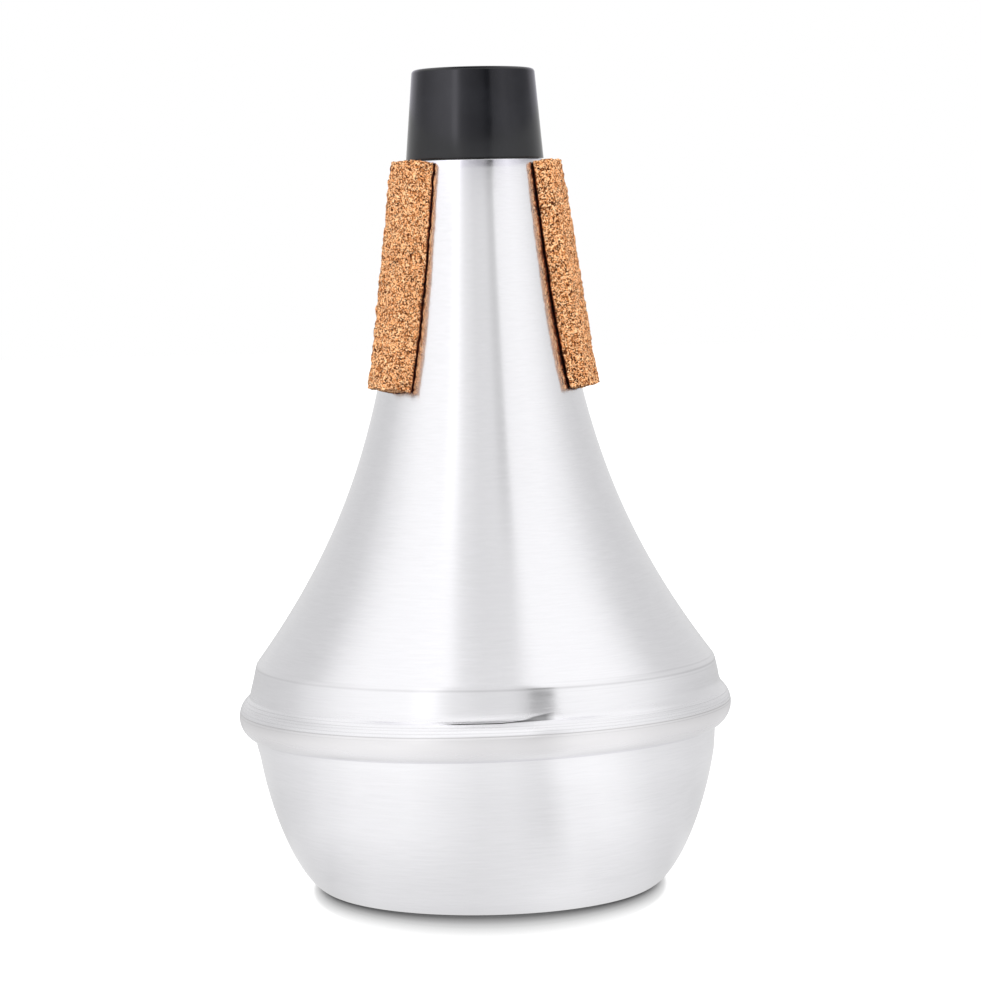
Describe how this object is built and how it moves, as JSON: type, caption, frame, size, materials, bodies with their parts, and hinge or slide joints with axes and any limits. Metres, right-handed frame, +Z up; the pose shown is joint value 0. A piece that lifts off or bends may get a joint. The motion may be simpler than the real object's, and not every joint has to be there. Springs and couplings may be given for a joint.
{
  "type": "trumpet straight mute",
  "caption": "Straight trumpet mute: a flared spun-aluminium cone rolled to a bowl in a full-round bead, with an open black throat sleeve and cork grip strips on its neck.",
  "frame": {"origin": "centre of the foot, on the surface that the mute stands on", "axes": "+Z up the mute's axis towards the throat sleeve; the picture looks along +Y with +X to its right"},
  "size_m": [0.108, 0.108, 0.1785],
  "materials": {
    "spun_aluminium": "spun and brushed round the axis, satin",
    "black_plastic": "moulded, glossy",
    "cork": "agglomerated cork, rough cut"
  },
  "bodies": {
    "root": {"cone_shell": "spun_aluminium", "base_bowl": "spun_aluminium", "throat_sleeve": "black_plastic", "cork_strip_left": "cork", "cork_strip_right": "cork", "cork_strip_back": "cork"}
  },
  "joints": []
}
